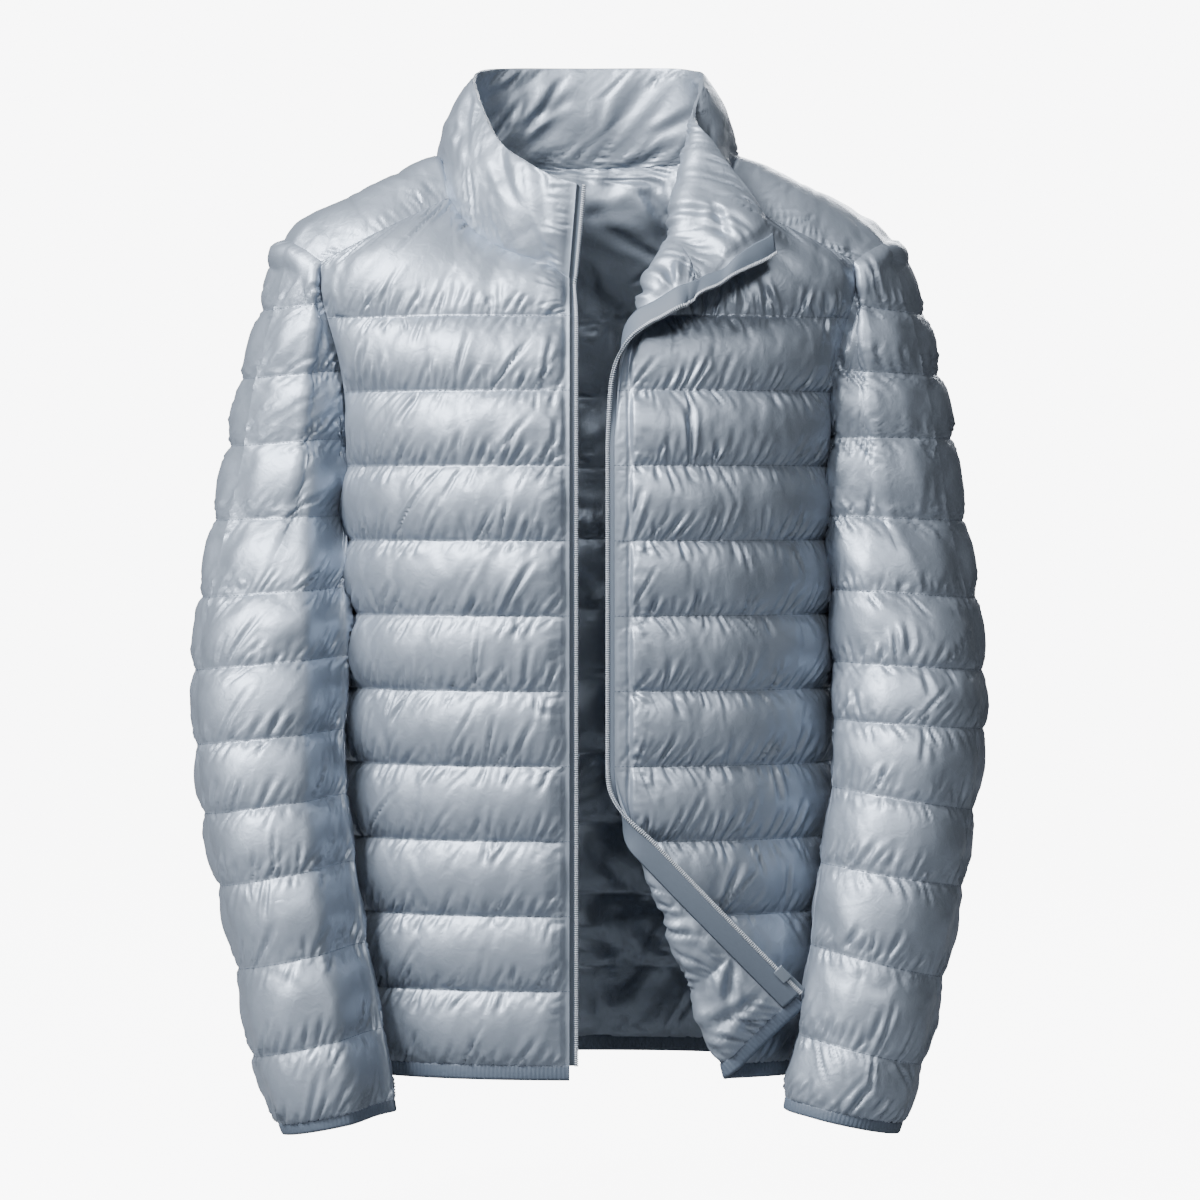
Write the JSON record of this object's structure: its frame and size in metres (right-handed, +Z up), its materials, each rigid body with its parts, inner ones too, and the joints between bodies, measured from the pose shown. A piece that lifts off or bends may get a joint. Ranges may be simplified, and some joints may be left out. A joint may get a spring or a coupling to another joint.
{
  "type": "puffer jacket",
  "caption": "Lightweight quilted jacket with a stand collar, filled out and worn open, its left front turned out as a lapel and its lower corner folded out.",
  "frame": {"origin": "base of the neck, midway between the shoulders and between front and back, where the collar's seam passes at the sides", "axes": "+Z up along the wearer's spine, -Y out of the front, +X towards the wearer's left arm"},
  "size_m": [0.6105, 0.3178, 0.8172],
  "materials": {
    "shell_nylon": "glossy woven nylon over light padding",
    "binding_elastic": "matte elastic binding",
    "zip_tape": "matte woven tape",
    "slider_metal": "satin grey"
  },
  "bodies": {
    "jacket": {"back": "shell_nylon", "right_front": "shell_nylon", "left_front": "shell_nylon", "collar": "shell_nylon", "right_sleeve_front": "shell_nylon", "right_sleeve_back": "shell_nylon", "left_sleeve_front": "shell_nylon", "left_sleeve_back": "shell_nylon", "hem_binding_right": "binding_elastic", "hem_binding_back": "binding_elastic", "hem_binding_left": "binding_elastic", "cuff_binding_right": "binding_elastic", "cuff_binding_left": "binding_elastic", "zip_tape_right": "zip_tape", "zip_tape_left": "zip_tape", "zip_slider": "slider_metal"},
    "pull": {"zip_pull": "slider_metal"}
  },
  "joints": [
    {"name": "pull_hinge", "type": "hinge", "parent": "jacket", "child": "pull", "pos_m": [0.14635, -0.1335, -0.60792], "axis": [0.7174, -0.154, 0.6795], "range_deg": [0, 60]}
  ]
}
